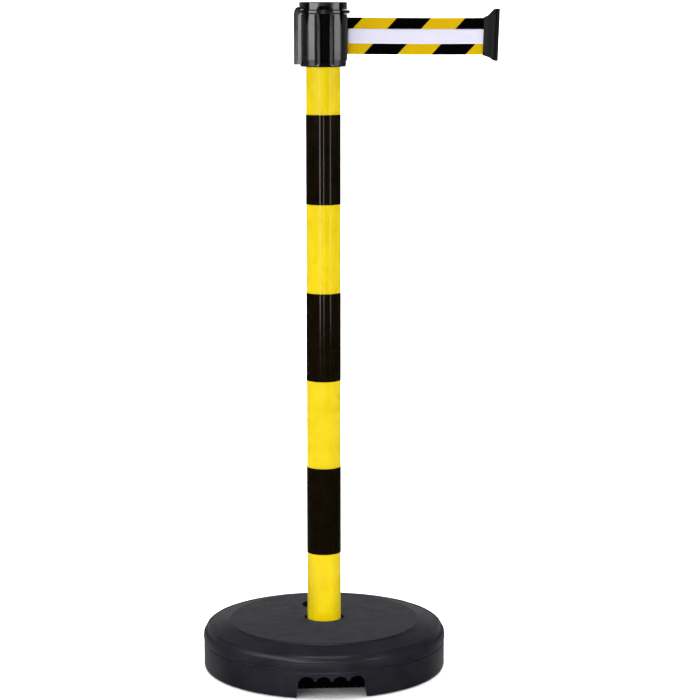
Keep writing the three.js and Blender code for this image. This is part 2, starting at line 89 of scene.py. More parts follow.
# Hidden run of the belt from the roll into the mouth, and the roll itself
LEAD_CORNER_X = 0.0312
LEAD_END_X = 0.0337
LEAD_BEND = 0.0025
LEAD_RADIUS = 0.02495
LEAD_STEPS, LEAD_BEND_STEPS = 6, 8
LEAD_TO_MOUTH = 0.0006
ROLL_IN, ROLL_OUT = 0.01455, 0.02438
ROLL_TURNS = 18
ROLL_STEPS = 44
ROLL_THICK = 0.0005

# Where the belt's slices start, the gap that closes when its slices are joined again, and
# the shares of its length that it is sliced at
STRETCH_FROM = 0.0345
CUT_DISTANCE = 1e-7
STRETCH_KNOTS = (0, 0.01, 0.04, 0.1, 0.2, 0.35, 0.5, 0.65, 0.8, 0.9, 0.96, 0.99, 1)

# Places on the base and the head where a finish changes or painted shade starts
GRIP_HALF, GRIP_TOP, GRIP_Y = 0.056, 0.037, -0.1
BASE_WALL_R, GRIP_DEEP_R = 0.1775, 0.1730
FLUTE_R, FLUTE_LOW = 0.03405, 0.9345
CHANNEL_HALF, CHANNEL_R, CHANNEL_TOP = 0.0073, 0.0354, 0.9555
FUNNEL_HALF, FUNNEL_R = 0.0083, 0.0341
STOP_TOP = 0.8878
SEAM_HALF = 0.0002

# Studio
CAMERA_AT = (-0.1906, -3.1268, 0.9494)
CAMERA_DOWN = math.radians(8.677)
CAMERA_TURN = math.radians(-4.19)
CAMERA_LENS = 111.77
TENT_R = 11.0


# ---------------------------------------------------------------- node helpers
class Nodes:
    """Small helpers round one node tree and the coordinates that its textures use."""

    def __init__(self, tree, coords):
        self.tree = tree
        self.coords = tree.nodes.new("ShaderNodeTexCoord").outputs[coords]

    def node(self, kind, **values):
        new = self.tree.nodes.new(kind)
        for key, value in values.items():
            if hasattr(new, key):
                setattr(new, key, value)
        return new

    def link(self, source, target):
        self.tree.links.new(source, target)

    def fill(self, socket, value):
        """A socket takes a link, or a plain value of its own."""
        if isinstance(value, bpy.types.NodeSocket):
            self.link(value, socket)
        else:
            socket.default_value = value

    def math(self, operation, a, b=0.0, c=0.0, clamp=False):
        new = self.node("ShaderNodeMath", operation=operation, use_clamp=clamp)
        for socket, value in zip(new.inputs, (a, b, c)):
            self.fill(socket, value)
        return new.outputs[0]

    def ranged(self, value, low, high, to_low, to_high, smooth=False):
        """One range laid over another: straight, or eased at both ends."""
        new = self.node("ShaderNodeMapRange")
        if smooth:
            new.interpolation_type = "SMOOTHSTEP"
        self.link(value, new.inputs["Value"])
        for key, number in (("From Min", low), ("From Max", high),
                            ("To Min", to_low), ("To Max", to_high)):
            new.inputs[key].default_value = number
        return new.outputs["Result"]

    def parts(self, vector=None):
        """The X, Y and Z of a vector, or of the coordinates."""
        new = self.node("ShaderNodeSeparateXYZ")
        self.link(vector or self.coords, new.inputs[0])
        return new.outputs


class Paint(Nodes):
    """One procedural material, on a Principled shader."""

    def __init__(self, name):
        self.material = bpy.data.materials.new(name)
        self.material.use_nodes = True
        super().__init__(self.material.node_tree, "Object")
        self.shader = self.tree.nodes["Principled BSDF"]

    def set(self, **values):
        """Fills the shader's sockets, each named with _ for its spaces."""
        for key, value in values.items():
            self.fill(self.shader.inputs[key.replace("_", " ")], value)

    def scaled(self, x=1.0, y=1.0, z=1.0):
        mapping = self.node("ShaderNodeMapping")
        self.link(self.coords, mapping.inputs["Vector"])
        mapping.inputs["Scale"].default_value = (x, y, z)
        return mapping.outputs["Vector"]

    def noise(self, scale, detail=2.0, rough=0.5, vector=None):
        new = self.node("ShaderNodeTexNoise")
        self.link(vector or self.coords, new.inputs["Vector"])
        new.inputs["Scale"].default_value = scale
        new.inputs["Detail"].default_value = detail
        new.inputs["Roughness"].default_value = rough
        return new.outputs["Fac"]

    def voronoi(self, scale, feature="F1"):
        new = self.node("ShaderNodeTexVoronoi", feature=feature)
        self.link(self.coords, new.inputs["Vector"])
        new.inputs["Scale"].default_value = scale
        return new.outputs["Distance"]

    def mix(self, factor, a, b):
        new = self.node("ShaderNodeMix", data_type="RGBA")
        self.fill(new.inputs[0], factor)
        self.fill(new.inputs[6], a)
        self.fill(new.inputs[7], b)
        return new.outputs[2]

    def radius(self, xyz):
        """How far a point is from the Z axis."""
        square = self.math("ADD", self.math("MULTIPLY", xyz["X"], xyz["X"]),
                           self.math("MULTIPLY", xyz["Y"], xyz["Y"]))
        return self.math("SQRT", square)

    def under(self, value, limit):
        """1 where a value is below a limit, 0 elsewhere."""
        return self.math("LESS_THAN", value, limit)

    def both(self, one, two):
        """1 where two masks are both 1."""
        return self.math("MULTIPLY", one, two)

    def bump(self, height, strength, distance, below=None):
        """A normal raised by a height, over another bump if one is given."""
        new = self.node("ShaderNodeBump")
        self.link(height, new.inputs["Height"])
        new.inputs["Strength"].default_value = strength
        new.inputs["Distance"].default_value = distance
        if below is not None:
            self.link(below, new.inputs["Normal"])
        return new.outputs["Normal"]

    def edges(self, radius):
        """1 on a convex or concave edge that is narrower than the radius, 0 on a flat."""
        bevel = self.node("ShaderNodeBevel", samples=4)
        bevel.inputs["Radius"].default_value = radius
        plain = self.node("ShaderNodeNewGeometry").outputs["Normal"]
        dot = self.node("ShaderNodeVectorMath", operation="DOT_PRODUCT")
        self.link(bevel.outputs[0], dot.inputs[0])
        self.link(plain, dot.inputs[1])
        return self.ranged(dot.outputs["Value"], 0.995, 0.90, 0.0, 1.0)


def rgb(r, g, b):
    """A colour given in screen values from 0 to 255, made linear."""
    def linear(c):
        c /= 255
        return c / 12.92 if c <= 0.04045 else ((c + 0.055) / 1.055) ** 2.4
    return (linear(r), linear(g), linear(b), 1.0)


# ---------------------------------------------------------------- materials
def moulded_polyethylene():
    """Blow-moulded charcoal shell: fine leathery mould grain, soft mottling, worn corners, and
    painted shade inside the hand grip.
    """
    p = Paint("moulded_polyethylene")
    mottle = p.noise(26, 5, 0.62)
    colour = p.mix(p.ranged(mottle, 0.35, 0.68, 0, 1), rgb(22, 22, 29), rgb(30, 30, 39))
    worn = p.math("MULTIPLY", p.edges(0.0016), p.ranged(p.noise(160, 3), 0.42, 0.62, 0.15, 0.8))
    colour = p.mix(p.math("MULTIPLY", worn, 0.6), colour, rgb(56, 57, 66))
    # Painted shade: the walls inside the hand grip are coloured near black, and the specular tint
    # dims their reflections.
    grip = grip_shade_mask(p)
    colour = p.mix(grip, colour, rgb(2, 2, 3))
    streaks = p.noise(1.0, 3, 0.6, p.scaled(60, 60, 900))
    rough = p.math("ADD", p.ranged(mottle, 0.3, 0.7, 0.31, 0.38),
                   p.ranged(streaks, 0.4, 0.7, -0.02, 0.05))
    rough = p.math("ADD", rough, p.math("MULTIPLY", grip, 0.3), clamp=True)
    p.set(Base_Color=colour, Roughness=rough, Specular_IOR_Level=0.34,
          Specular_Tint=p.mix(grip, (1, 1, 1, 1), (0.1, 0.1, 0.1, 1)))
    grain = p.voronoi(1500)
    soft = p.noise(420, 4, 0.6)
    waves = p.noise(24, 2)
    normal = p.bump(waves, 0.10, 0.0022)
    normal = p.bump(soft, 0.10, 0.0003, normal)
    p.set(Normal=p.bump(grain, 0.16, 0.00012, normal))
    return p.material


def grip_shade_mask(p):
    """1 on the walls inside the hand grip, where painted shade makes them near black."""
    xyz = p.parts()
    inside = p.both(p.under(p.math("ABSOLUTE", xyz["X"]), GRIP_HALF), p.under(xyz["Z"], GRIP_TOP))
    inside = p.both(inside, p.under(xyz["Y"], GRIP_Y))
    deep = p.ranged(p.radius(xyz), BASE_WALL_R, GRIP_DEEP_R, 0.0, 1.0, smooth=True)
    return p.both(inside, deep)


def gloss_plastic():
    """Polished black ABS: faint flow lines, hairline scuffs, and painted shade in the recesses,
    which are also made matt.
    """
    p = Paint("gloss_black_plastic")
    cloud = p.noise(90, 3, 0.6)
    colour = p.mix(p.ranged(cloud, 0.3, 0.7, 0, 1), rgb(10, 12, 13), rgb(17, 19, 21))
    scuff = p.noise(1.0, 4, 0.7, p.scaled(900, 900, 120))
    rough = p.math("ADD", p.ranged(cloud, 0.35, 0.7, 0.18, 0.24),
                   p.ranged(scuff, 0.60, 0.72, 0.0, 0.08))
    # Painted shade: the flutes, channels and funnels are coloured near black and their reflections
    # dimmed; their roughness is raised too.
    recess_shade = recess_shade_mask(p)
    colour = p.mix(recess_shade, colour, rgb(2, 3, 3))
    rough = p.math("ADD", rough, p.math("MULTIPLY", recess_shade, 0.6), clamp=True)
    p.set(Base_Color=colour, Roughness=rough, Specular_IOR_Level=0.9,
          Specular_Tint=p.mix(recess_shade, (1, 1, 1, 1), (0.12, 0.12, 0.12, 1)))
    normal = p.bump(p.noise(150, 2), 0.05, 0.0006)
    p.set(Normal=p.bump(p.noise(1400, 2), 0.03, 0.00006, normal))
    return p.material


def recess_shade_mask(p):
    """1 in the head's flutes and inside the channels and funnels between its rails, where painted
    shade goes.
    """
    xyz = p.parts()
    radius = p.radius(xyz)
    off_middle = p.math("MINIMUM", p.math("ABSOLUTE", xyz["X"]), p.math("ABSOLUTE", xyz["Y"]))
    in_channel = p.under(off_middle, CHANNEL_HALF)
    flute = p.both(p.under(radius, FLUTE_R), p.math("GREATER_THAN", xyz["Z"], FLUTE_LOW))
    channel = p.both(p.both(in_channel, p.under(radius, CHANNEL_R)),
                     p.under(xyz["Z"], CHANNEL_TOP))
    funnel = p.both(p.under(off_middle, FUNNEL_HALF), p.under(radius, FUNNEL_R))
    stop = p.both(in_channel, p.under(xyz["Z"], STOP_TOP))
    deep = p.math("MAXIMUM", channel, funnel)
    return p.math("MAXIMUM", p.math("MAXIMUM", flute, deep), stop)


def yellow_paint():
    """Powder-coated tube: orange-peel skin, slight cloudiness, lengthwise drawing lines."""
    p = Paint("yellow_powder_coat")
    cloud = p.noise(34, 4, 0.55)
    colour = p.mix(p.ranged(cloud, 0.3, 0.7, 0, 1), rgb(208, 182, 3), rgb(216, 192, 7))
    drawn = p.noise(1.0, 3, 0.6, p.scaled(700, 700, 5))
    colour = p.mix(p.ranged(drawn, 0.45, 0.75, 0, 0.22), colour, rgb(232, 196, 4))
    rough = p.math("ADD", p.ranged(cloud, 0.3, 0.7, 0.24, 0.32),
                   p.ranged(drawn, 0.5, 0.8, 0.0, 0.05))
    p.set(Base_Color=colour, Roughness=rough, Specular_IOR_Level=0.14,
          Coat_Weight=0.04, Coat_Roughness=0.10)
    peel = p.bump(p.noise(520, 3, 0.5), 0.10, 0.00022)
    p.set(Normal=p.bump(p.noise(60, 2), 0.05, 0.0012, peel))
    return p.material


def black_film():
    """Glossy film wrapped round the tube, with its overlap seam at the back."""
    p = Paint("black_wrap_film")
    cloud = p.noise(40, 4, 0.6)
    colour = p.mix(p.ranged(cloud, 0.3, 0.7, 0, 1), rgb(11, 7, 2), rgb(18, 12, 6))
    xyz = p.parts()
    seam = p.both(p.under(p.math("ABSOLUTE", xyz["X"]), SEAM_HALF),
                  p.math("GREATER_THAN", xyz["Y"], 0))
    colour = p.mix(seam, colour, rgb(60, 56, 50))
    rough = p.ranged(cloud, 0.3, 0.7, 0.08, 0.13)
    p.set(Base_Color=colour, Roughness=rough, Specular_IOR_Level=0.07,
          Coat_Weight=0.03, Coat_Roughness=0.06)
    height = p.math("SUBTRACT", p.noise(420, 3, 0.5), p.math("MULTIPLY", seam, 2.0))
    p.set(Normal=p.bump(height, 0.12, 0.00018))
    return p.material


def belt_run(p):
    """How far along the belt and how high a point of the straight belt is."""
    xyz = p.parts()
    return p.radius(xyz), xyz["Z"]


def roll_run(p):
    """The same for the wound belt, from the unwound length and height in its UV map."""
    unwound = p.node("ShaderNodeTexCoord").outputs["UV"]
    flat = p.parts(unwound)
    return flat["X"], flat["Y"]


def hazard_stripes(p, run, z):
    """1 on yellow and 0 on black, in bands that slant across the belt along its run."""
    drop = p.math("SUBTRACT", BELT_HIGH, z)
    along = p.math("ADD", run, p.math("MULTIPLY", drop, STRIPE_SLANT))
    ragged = p.math("MULTIPLY", p.math("SUBTRACT", p.noise(1500, 1), 0.5), 0.0006)
    along = p.math("ADD", along, ragged)
    turn = p.math("DIVIDE", p.math("SUBTRACT", along, STRIPE_SHIFT), STRIPE_PERIOD)
    phase = p.math("FRACT", p.math("ADD", turn, 80.0))
    return p.under(phase, 0.5)


def belt_web(name, where):
    """Woven polyester webbing with printed hazard stripes."""
    p = Paint(name)
    run, z = where(p)
    yellow = hazard_stripes(p, run, z)
    warp = p.math("SINE", p.math("MULTIPLY", z, math.tau / WARP_PITCH))
    weft = p.math("SINE", p.math("MULTIPLY", run, math.tau / WEFT_PITCH))
    turn = p.math("MULTIPLY", p.math("SIGN", warp), p.math("SIGN", weft))
    weave = p.math("MULTIPLY", p.math("ADD", p.math("ABSOLUTE", warp),
                                      p.math("MULTIPLY", p.math("ABSOLUTE", weft), 0.8)), 0.5)
    over = p.ranged(turn, -1, 1, 0.78, 1.0)
    height = p.math("MULTIPLY", weave, over)
    fuzz = p.noise(2600, 3, 0.7)
    # Painted shade: the low parts of the weave are coloured darker than the yarns on top.
    shade = p.ranged(height, 0.1, 0.9, 0, 1)
    bright = p.mix(shade, rgb(187, 148, 4), rgb(229, 191, 16))
    bright = p.mix(p.ranged(fuzz, 0.4, 0.75, 0, 0.3), bright, rgb(206, 167, 10))
    dark = p.mix(shade, rgb(0, 0, 0), rgb(3, 3, 4))
    colour = p.mix(yellow, dark, bright)
    if where is roll_run:
        off = p.math("ABSOLUTE", p.math("SUBTRACT", z, TAPE_MIDDLE_Z))
        colour = p.mix(p.under(off, TAPE_HALF), colour, rgb(222, 220, 237))
    p.set(Base_Color=colour, Roughness=p.ranged(fuzz, 0.3, 0.7, 0.7, 0.9),
          Specular_IOR_Level=0.02, Sheen_Weight=0.01, Sheen_Roughness=0.5)
    normal = p.bump(height, 0.55, 0.00016)
    p.set(Normal=p.bump(fuzz, 0.15, 0.00006, normal))
    return p.material


def reflective_tape():
    """White retroreflective tape: honeycomb cells under a clear skin, glass beads, and painted
    glints as lighter specks.
    """
    p = Paint("reflective_tape")
    cells = p.voronoi(700, "DISTANCE_TO_EDGE")
    wall = p.ranged(cells, 0.03, 0.09, 1.0, 0.0)
    bead_and_glint = p.noise(5200, 2, 0.7)
    # Painted glints: lighter specks in the colour stand for light caught by the glass beads.
    colour = p.mix(p.ranged(bead_and_glint, 0.35, 0.7, 0, 1), rgb(215, 213, 232), rgb(236, 235, 249))
    colour = p.mix(p.math("MULTIPLY", wall, 0.35), colour, rgb(197, 195, 217))
    p.set(Base_Color=colour, Roughness=p.ranged(bead_and_glint, 0.3, 0.7, 0.30, 0.45),
          Specular_IOR_Level=0.5, Coat_Weight=0.2, Coat_Roughness=0.15)
    p.set(Normal=p.bump(p.math("ADD", wall, bead_and_glint), 0.18, 0.00008))
    return p.material


def thread():
    """Twisted white sewing thread."""
    p = Paint("white_thread")
    twist = p.noise(1.0, 2, 0.6, p.scaled(2600, 2600, 900))
    p.set(Base_Color=p.mix(twist, rgb(196, 194, 205), rgb(236, 235, 244)),
          Roughness=p.ranged(twist, 0.3, 0.7, 0.55, 0.8), Sheen_Weight=0.15)
    p.set(Normal=p.bump(twist, 0.5, 0.0001))
    return p.material


def matte_plastic(name, low, high, rough=(0.42, 0.56), level=0.4):
    """Spark-eroded nylon: fine sandy texture and edges rubbed a little smoother."""
    p = Paint(name)
    cloud = p.noise(120, 4, 0.6)
    colour = p.mix(p.ranged(cloud, 0.3, 0.7, 0, 1), low, high)
    worn = p.edges(0.0006)
    lighter = tuple(min(1.0, c * 1.9 + 0.01) for c in high[:3]) + (1.0,)
    colour = p.mix(p.math("MULTIPLY", worn, 0.35), colour, lighter)
    p.set(Base_Color=colour, Roughness=p.ranged(cloud, 0.3, 0.7, *rough), Specular_IOR_Level=level)
    p.set(Normal=p.bump(p.noise(3200, 3, 0.7), 0.35, 0.00006))
    return p.material


def brushed_steel(name, low, high):
    """Steel with fine turned lines round its axis."""
    p = Paint(name)
    lines = p.noise(1.0, 4, 0.65, p.scaled(160, 160, 5200))
    p.set(Base_Color=p.mix(p.ranged(lines, 0.3, 0.7, 0, 1), low, high), Metallic=1.0,
          Roughness=p.ranged(lines, 0.3, 0.7, 0.22, 0.42))
    p.set(Normal=p.bump(lines, 0.15, 0.00005))
    return p.material


def rubber():
    """Matt black rubber with a dusty, uneven skin."""
    p = Paint("black_rubber")
    cloud = p.noise(220, 4, 0.65)
    p.set(Base_Color=p.mix(cloud, rgb(14, 14, 15), rgb(30, 30, 31)),
          Roughness=p.ranged(cloud, 0.3, 0.7, 0.75, 0.92), Specular_IOR_Level=0.3)
    p.set(Normal=p.bump(p.noise(1800, 3, 0.6), 0.3, 0.0001))
    return p.material


def sand():
    """Loose sand, each grain with its own tone."""
    p = Paint("sand_filling")
    grains = p.node("ShaderNodeTexVoronoi")
    p.link(p.coords, grains.inputs["Vector"])
    grains.inputs["Scale"].default_value = 900
    tone = p.parts(grains.outputs["Color"])["X"]
    p.set(Base_Color=p.mix(tone, rgb(120, 98, 66), rgb(206, 184, 142)),
          Roughness=p.ranged(tone, 0, 1, 0.75, 0.95))
    p.set(Normal=p.bump(grains.outputs["Distance"], 0.8, 0.0006))
    return p.material


FINISH = {
    "hdpe": moulded_polyethylene(),
    "sand": sand(),
    "cap_plastic": matte_plastic("plug_plastic", rgb(10, 10, 11), rgb(19, 19, 21)),
    "rubber": rubber(),
    "yellow_paint": yellow_paint(),
    "black_film": black_film(),
    "nylon": matte_plastic("black_nylon", rgb(22, 22, 24), rgb(34, 34, 37)),
    "gloss_black": gloss_plastic(),
    "steel": brushed_steel("zinc_steel", rgb(150, 152, 156), rgb(205, 207, 210)),
    "drum_plastic": matte_plastic("white_acetal", rgb(214, 211, 202), rgb(233, 231, 224)),
    "spring_steel": brushed_steel("blued_spring_steel", rgb(70, 76, 90), rgb(122, 128, 140)),
    "webbing": belt_web("hazard_webbing", belt_run),
    "clip_plastic": matte_plastic("clip_plastic", rgb(17, 18, 19), rgb(25, 26, 27), level=0.14),
}
SLOT_OF = {s["node"]: s["material_slot"] for s in frame["record"]["subparts"]}


# ---------------------------------------------------------------- CAD nodes
# Edge rounding in metres for each CAD node; the rest take the default.
ROUNDING = {
    "base_shell": 0.0006, "head_body": 0.0004, "head_rim": 0.0004, "top_cap": 0.0005,
    "belt_mouth": 0.0004, "clip_body": 0.0005, "clip_cover": 0.0003, "fill_plug": 0.0004,
    "receiver_left": 0.0005, "receiver_front": 0.0005, "receiver_back": 0.0005,
    "post_tube": 0.0003, "band_1": 0.0, "band_2": 0.0, "band_3": 0.0,
}
DEFAULT_ROUNDING = 0.0002
SHARP = math.radians(29)
SPLIT = math.radians(36)
FLAT = math.radians(0.6)
WELD_DISTANCE = 2e-6

# The hand grip's outline on the base's outer wall, and its rounding
OUTLINE_HALF, OUTLINE_TOP = 0.0535, 0.0352
OUTLINE_R, OUTLINE_Y = 0.1745, -0.16
OUTLINE_ROUNDING = 0.0016


def round_grip(obj):
    """A wider rounding on the front outline of the hand grip, held to it by a vertex group."""
    group = obj.vertex_groups.new(name="grip_outline")
    picked = []
    for vertex in obj.data.vertices:
        x, y, z = vertex.co
        on_wall = math.hypot(x, y) > OUTLINE_R and y < OUTLINE_Y
        if on_wall and abs(x) < OUTLINE_HALF and z < OUTLINE_TOP:
            picked.append(vertex.index)
    group.add(picked, 1.0, "REPLACE")
    bevel = obj.modifiers.new("grip", "BEVEL")
    bevel.width = OUTLINE_ROUNDING
    bevel.segments = 3
    bevel.limit_method = "VGROUP"
    bevel.vertex_group = group.name


def finish_node(name, obj):
    """Rounds a CAD node's edges and smooths its curves with modifiers, and gives it its finish."""
    obj.data.materials.clear()
    obj.data.materials.append(FINISH[SLOT_OF[name]])
    for polygon in obj.data.polygons:
        polygon.use_smooth = True
    if obj.data.has_custom_normals:
        obj.data.attributes.remove(obj.data.attributes["custom_normal"])
    weld = obj.modifiers.new("weld", "WELD")
    weld.merge_threshold = WELD_DISTANCE
    flat = obj.modifiers.new("flat", "DECIMATE")
    flat.decimate_type = "DISSOLVE"
    flat.angle_limit = FLAT
    if name == "base_shell":
        round_grip(obj)
    width = ROUNDING.get(name, DEFAULT_ROUNDING)
    if width:
        bevel = obj.modifiers.new("bevel", "BEVEL")
        bevel.width = width
        bevel.segments = 3
        bevel.limit_method = "ANGLE"
        bevel.angle_limit = SHARP
    split = obj.modifiers.new("split", "EDGE_SPLIT")
    split.split_angle = SPLIT
    weigh = obj.modifiers.new("weigh", "WEIGHTED_NORMAL")
    weigh.keep_sharp = True
    weigh.weight = 90


for node_name, node_object in NODES.items():
    finish_node(node_name, node_object)
# The glossy base and head don't mirror the post.
for node_name in ("post_tube", "band_1", "band_2", "band_3"):
    NODES[node_name].visible_glossy = False


# ---------------------------------------------------------------- mesh helpers
def made(name, bm, material):
    """A new object from a finished bmesh."""
    mesh = bpy.data.meshes.new(name)
    bmesh.ops.recalc_face_normals(bm, faces=bm.faces)
    bm.to_mesh(mesh)
    bm.free()
    for polygon in mesh.polygons:
        polygon.use_smooth = True
    mesh.materials.append(material)
    obj = bpy.data.objects.new(name, mesh)
    bpy.context.scene.collection.objects.link(obj)
    return obj


def belt_point(x, z, y=0.0):
    """Where a point of the flat belt lies: it ripples, sags and leans as it nears the clip."""
    s = max(0.0, min(1.0, (x - FREE_FROM_X) / (CLIP_EDGE_X - FREE_FROM_X)))
    ripple = 0.00035 * math.sin(21 * x + 18 * z) + 0.0002 * math.sin(63 * x - 40 * z)
    ripple *= math.sin(math.pi * s)
    lean = math.tan(CLIP_LEAN) * (z - CLIP_MIDDLE_Z) * s * s
    sag = CLIP_SAG * s + 0.0004 * math.sin(math.pi * s)
    return Vector((x + lean, y + ripple, z - sag))


def straight(x0, x1, columns):
    """Stations of a straight run: each is a place in plan and the way across the cloth."""
    step = (x1 - x0) / columns
    return [(Vector((x0 + step * i, 0)), Vector((0, 1))) for i in range(columns + 1)]


def lead_in():
    """Stations of the hidden run from the roll's tangent, round the corner into the mouth."""
    corner = Vector((LEAD_CORNER_X, 0))
    turn = math.acos(LEAD_RADIUS / LEAD_CORNER_X)
    leave = LEAD_RADIUS * Vector((math.cos(turn), math.sin(turn)))
    bend = corner + (leave - corner).normalized() * LEAD_BEND
    end = Vector((LEAD_END_X, 0))
    points = [leave.lerp(bend, i / LEAD_STEPS) for i in range(LEAD_STEPS)]
    for i in range(LEAD_BEND_STEPS + 1):
        t = i / LEAD_BEND_STEPS
        points.append(bend.lerp(corner, t).lerp(corner.lerp(end, t), t))
    stations = []
    for i, point in enumerate(points):
        ahead = points[min(i + 1, len(points) - 1)] - points[max(i - 1, 0)]
        ahead.normalize()
        stations.append((point, Vector((-ahead.y, ahead.x))))
    return stations


def strip_mesh(name, stations, z0, z1, thick, rows, material, middle=0.0, edge=1.0):
    """A closed strip of woven material on the belt's path; edge thickens its selvedges."""
    bm = bmesh.new()
    faces = []
    for side in (-1, 1):
        grid = []
        for place, across in stations:
            line = []
            for j in range(rows + 1):
                t = j / rows
                z = z0 + (z1 - z0) * t
                rim = min(t, 1 - t) * (z1 - z0)
                swell = 1 + (edge - 1) * math.exp(-(rim / SELVEDGE_WIDTH) ** 2)
                rounded = min(1.0, 0.35 + rim / RIM_WIDTH)
                at = place + across * (middle + side * thick / 2 * swell * rounded)
                line.append(bm.verts.new(belt_point(at.x, z, at.y)))
            grid.append(line)
        faces.append(grid)
    close_strip(bm, *faces)
    return made(name, bm, material)


def close_strip(bm, back, front):
    """Joins two equal grids of vertices into one closed sheet."""
    columns, rows = len(back) - 1, len(back[0]) - 1
    for i in range(columns):
        for j in range(rows):
            bm.faces.new((back[i][j], back[i + 1][j], back[i + 1][j + 1], back[i][j + 1]))
            bm.faces.new((front[i][j], front[i][j + 1], front[i + 1][j + 1], front[i + 1][j]))
        for j in (0, rows):
            bm.faces.new((back[i][j], front[i][j], front[i + 1][j], back[i + 1][j]))
    for j in range(rows):
        for i in (0, columns):
            bm.faces.new((back[i][j], back[i][j + 1], front[i][j + 1], front[i][j]))


def stitch_rows(name, material):
    """Lockstitch along both edges of the reflective tape, on both faces of the belt."""
    bm = bmesh.new()
    count = int((BELT_END_X - STITCH_END_GAP - FREE_FROM_X) / STITCH_PITCH)
    for face in (-1, 1):
        for edge in (-1, 1):
            z = TAPE_MIDDLE_Z + edge * (TAPE_HALF - STITCH_INSET)
            for n in range(count):
                add_stitch(bm, FREE_FROM_X + STITCH_PITCH * n, z, face)
    return made(name, bm, material)


def add_stitch(bm, x, z, face):
    """One stitch: thread that comes up out of the cloth and goes down into it again."""
    rings = []
    for share, size in STITCH_SHAPE:
        lift = BELT_THICK / 2 + THREAD_LIFT + THREAD_R * (size - 0.45)
        centre = belt_point(x + STITCH_LONG * share, z, face * lift)
        ring = []
        for side in range(THREAD_SIDES):
            angle = math.tau * side / THREAD_SIDES
            off = Vector((0, math.cos(angle), math.sin(angle))) * THREAD_R * size
            ring.append(bm.verts.new(centre + off))
        rings.append(ring)
    for one, two in zip(rings, rings[1:]):
        for side in range(THREAD_SIDES):
            after = (side + 1) % THREAD_SIDES
            bm.faces.new((one[side], one[after], two[after], two[side]))
    bm.faces.new(rings[0])
    bm.faces.new(list(reversed(rings[-1])))


def slice_of(obj, low, high):
    """A copy of a mesh with only the faces whose middles lie between two places along +X."""
    piece = obj.copy()
    piece.data = obj.data.copy()
    bpy.context.scene.collection.objects.link(piece)
    bm = bmesh.new()
    bm.from_mesh(piece.data)
    outside = [f for f in bm.faces if not low <= f.calc_center_median().x < high]
    bmesh.ops.delete(bm, geom=outside, context="FACES")
    bm.to_mesh(piece.data)
    bm.free()
    return piece


def joined(pieces, name):
    """The pieces as one object again, with the cuts between them closed."""
    bpy.ops.object.select_all(action="DESELECT")
    for piece in pieces:
        piece.select_set(True)
    bpy.context.view_layer.objects.active = pieces[0]
    bpy.ops.object.join()
    whole = pieces[0]
    bm = bmesh.new()
    bm.from_mesh(whole.data)
    bmesh.ops.remove_doubles(bm, verts=bm.verts, dist=CUT_DISTANCE)
    bm.to_mesh(whole.data)
    bm.free()
    whole.name = name
    whole.data.name = name
    return whole


def even_stretch(obj):
    """Cuts a piece of the belt into slices at set shares of its run from the post to the clip, and
    joins them again.
    """
    name = obj.name
    obj.name = name + "_uncut"
    pieces = []
    for low, high in zip(STRETCH_KNOTS, STRETCH_KNOTS[1:]):
        x0, x1 = (STRETCH_FROM + (CLIP_EDGE_X - STRETCH_FROM) * w for w in (low, high))
        piece = slice_of(obj, x0 if low > 0 else -1, x1 if high < 1 else 1)
        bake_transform(piece)
        pieces.append(piece)
    bpy.data.objects.remove(obj)
    return joined(pieces, name)


# ---------------------------------------------------------------- belt
def build_belt():
    """The belt from the roll to the clip's pin, with its tape and stitches."""
    lead = lead_in()
    path = lead + straight(LEAD_END_X + LEAD_TO_MOUTH, BELT_END_X, BELT_COLUMNS)
    length = BELT_END_X - LEAD_END_X
    for (one, _), (two, _) in zip(lead, lead[1:]):
        length += (two - one).length
    web = strip_mesh("belt_webbing", path, BELT_LOW, BELT_HIGH, BELT_THICK, BELT_ROWS,
                     FINISH["webbing"], edge=SELVEDGE_SWELL)
    tape_material = reflective_tape()
    tape_path = straight(TAPE_START_X, BELT_END_X, BELT_COLUMNS)
    tapes = []
    for side, label in ((-1, "front"), (1, "back")):
        middle = side * (BELT_THICK / 2 + TAPE_THICK / 2)
        tapes.append(strip_mesh(f"belt_tape_{label}", tape_path, TAPE_MIDDLE_Z - TAPE_HALF,
                                TAPE_MIDDLE_Z + TAPE_HALF, TAPE_THICK, TAPE_ROWS,
                                tape_material, middle))
    stitches = stitch_rows("belt_stitches", thread())
    web, *trim = [even_stretch(piece) for piece in (web, *tapes, stitches)]
    for piece in (web, *trim):
        piece.visible_glossy = False
    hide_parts("belt_strip")


def roll_point(turns_left, z, off):
    """Where a point of the wound belt lies, so many turns in from its outer end."""
    depth = turns_left / ROLL_TURNS
    radius = ROLL_OUT + (ROLL_IN - ROLL_OUT) * depth + off
    angle = math.acos(LEAD_RADIUS / LEAD_CORNER_X) + math.tau * turns_left
    wander = 0.00009 * math.sin(2.3 * turns_left) + 0.00004 * math.sin(math.tau * turns_left)
    return Vector((radius * math.cos(angle), radius * math.sin(angle), z + wander))


def build_roll():
    """The rest of the belt, wound on the spool, with every turn drawn."""
    bm = bmesh.new()
    rows, columns = 10, ROLL_TURNS * ROLL_STEPS
    run_of = {}
    faces = []
    for side in (-1, 1):
        grid = []
        run = 0.0
        for i in range(columns + 1):
            turns = i / ROLL_STEPS
            line = []
            for j in range(rows + 1):
                z = BELT_LOW + (BELT_HIGH - BELT_LOW) * j / rows
                rounded = 0.6 if j in (0, rows) else 1.0
                vertex = bm.verts.new(roll_point(turns, z, side * ROLL_THICK / 2 * rounded))
                run_of[vertex] = run
                line.append(vertex)
            grid.append(line)
            here = roll_point(turns, 0, 0)
            run += (roll_point(turns + 1 / ROLL_STEPS, 0, 0) - here).length
        faces.append(grid)
    close_strip(bm, *faces)
    unwound = bm.loops.layers.uv.new("unwound")
    for face in bm.faces:
        for loop in face.loops:
            loop[unwound].uv = (-run_of[loop.vert], loop.vert.co.z)
    roll = made("belt_wound", bm, belt_web("hazard_webbing_wound", roll_run))
    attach(roll, "spool")
    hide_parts("belt_roll")


build_belt()
build_roll()


